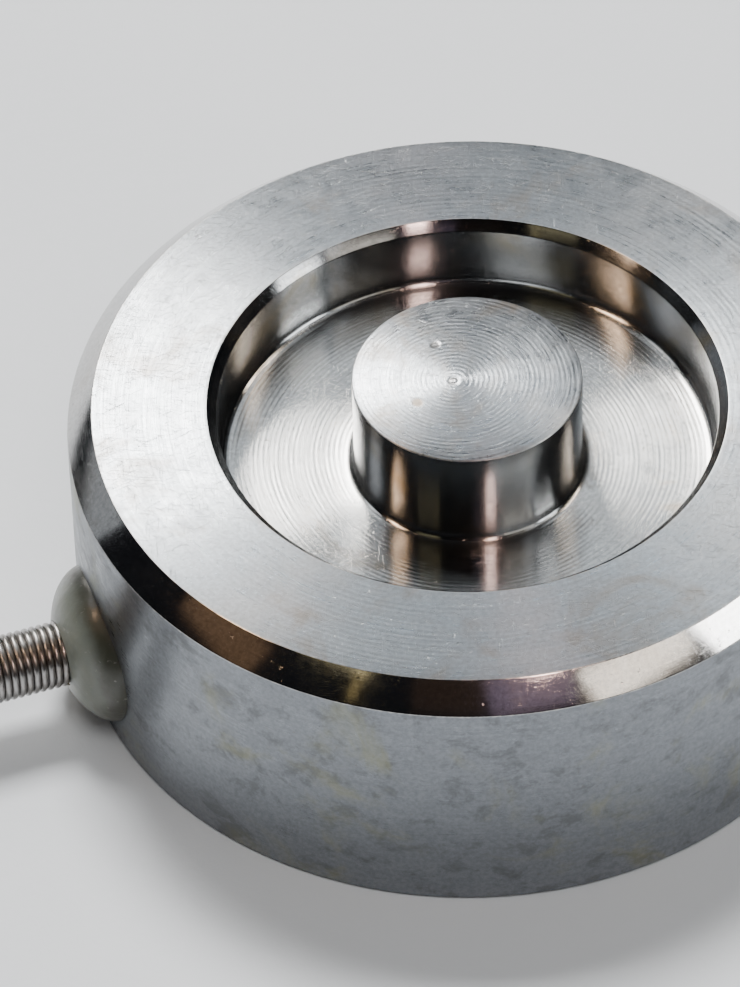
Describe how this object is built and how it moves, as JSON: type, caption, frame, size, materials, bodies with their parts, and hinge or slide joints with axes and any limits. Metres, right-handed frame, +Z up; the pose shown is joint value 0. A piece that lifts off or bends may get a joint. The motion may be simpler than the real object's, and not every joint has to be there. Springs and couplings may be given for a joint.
{
  "type": "button load cell",
  "caption": "Round steel compression load cell with a raised load button in a recess and a spring-protected cable out of its side.",
  "frame": {"origin": "centre of the base face, on the body's axis", "axes": "+Z up through the load button, along the load; the cable leaves along -X"},
  "size_m": [0.0824, 0.062, 0.0155],
  "materials": {
    "turned_steel": "turned, fine concentric tool marks, polished edges, light stains",
    "cover_steel": "flat ground sheet",
    "spring_steel": "drawn wire",
    "sealant": "translucent grey-green resin",
    "board_laminate": "glass-fibre laminate",
    "pad_copper": "tinned copper",
    "gauge_film": "amber film",
    "gauge_foil": "etched foil",
    "enamelled_wire": "enamel",
    "resistor_ceramic": "ceramic chip",
    "stop_brass": "crimped tube",
    "cable_jacket": "soft extruded jacket",
    "tie_plastic": "nylon",
    "shrink_sleeve": "shrunk sleeve",
    "tinned_copper": "tinned strands",
    "insulation_red": "extruded",
    "insulation_black": "extruded",
    "insulation_green": "extruded",
    "insulation_white": "extruded"
  },
  "bodies": {
    "root": {"base_cover": "cover_steel", "cable_coil": "cable_jacket", "cable_lead_in": "cable_jacket", "cable_run": "cable_jacket", "cable_sealant": "sealant", "cable_stop": "stop_brass", "cable_tail": "cable_jacket", "chip_resistor_1": "resistor_ceramic", "chip_resistor_2": "resistor_ceramic", "chip_resistor_3": "resistor_ceramic", "chip_resistor_4": "resistor_ceramic", "coil_tie": "tie_plastic", "core_black": "insulation_black", "core_green": "insulation_green", "core_red": "insulation_red", "core_white": "insulation_white", "end_sleeve": "shrink_sleeve", "gauge_carrier_1": "gauge_film", "gauge_carrier_2": "gauge_film", "gauge_carrier_3": "gauge_film", "gauge_carrier_4": "gauge_film", "gauge_grid_1": "gauge_foil", "gauge_grid_2": "gauge_foil", "gauge_grid_3": "gauge_foil", "gauge_grid_4": "gauge_foil", "gauge_leads": "enamelled_wire", "lead_black": "insulation_black", "lead_green": "insulation_green", "lead_red": "insulation_red", "lead_tips": "tinned_copper", "lead_white": "insulation_white", "sensing_body": "turned_steel", "strain_relief_spring": "spring_steel", "terminal_board": "board_laminate", "terminal_pads": "pad_copper"}
  },
  "joints": []
}
